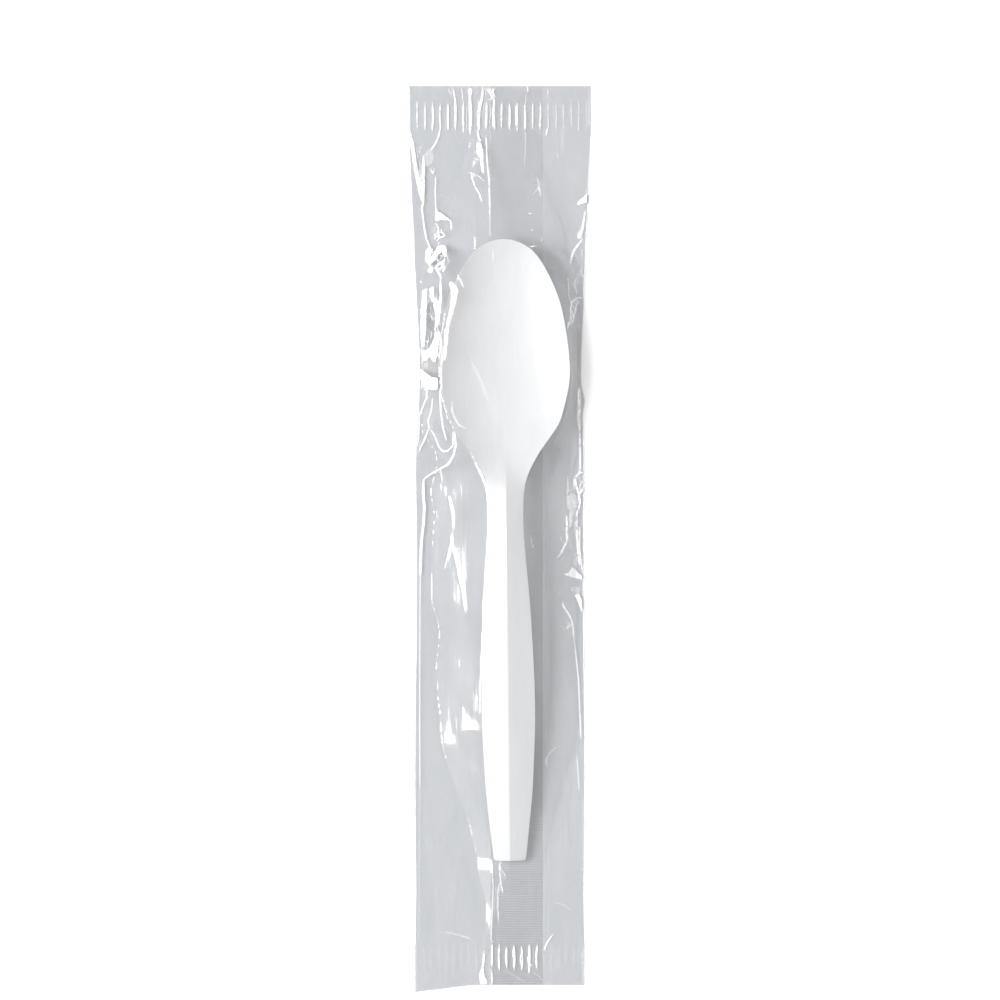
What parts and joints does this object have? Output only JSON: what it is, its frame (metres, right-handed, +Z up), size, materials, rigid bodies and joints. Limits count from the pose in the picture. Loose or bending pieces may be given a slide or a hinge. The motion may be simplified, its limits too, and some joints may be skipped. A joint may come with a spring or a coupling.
{
  "type": "wrapped plastic teaspoon",
  "caption": "White moulded plastic teaspoon sealed in a clear film sleeve with ribbed end seals and a fin seal folded flat down its back.",
  "frame": {"origin": "middle of the pack's footprint, on the surface it lies on", "axes": "+Y along the pack towards the bowl's end, +X across it towards the free edge of the fin seal, +Z up out of the front of the pack"},
  "size_m": [0.0442, 0.219, 0.0114],
  "materials": {
    "white_plastic": "satin",
    "clear_film": "gloss"
  },
  "bodies": {
    "root": {"spoon": "white_plastic", "film_sleeve": "clear_film"}
  },
  "joints": []
}
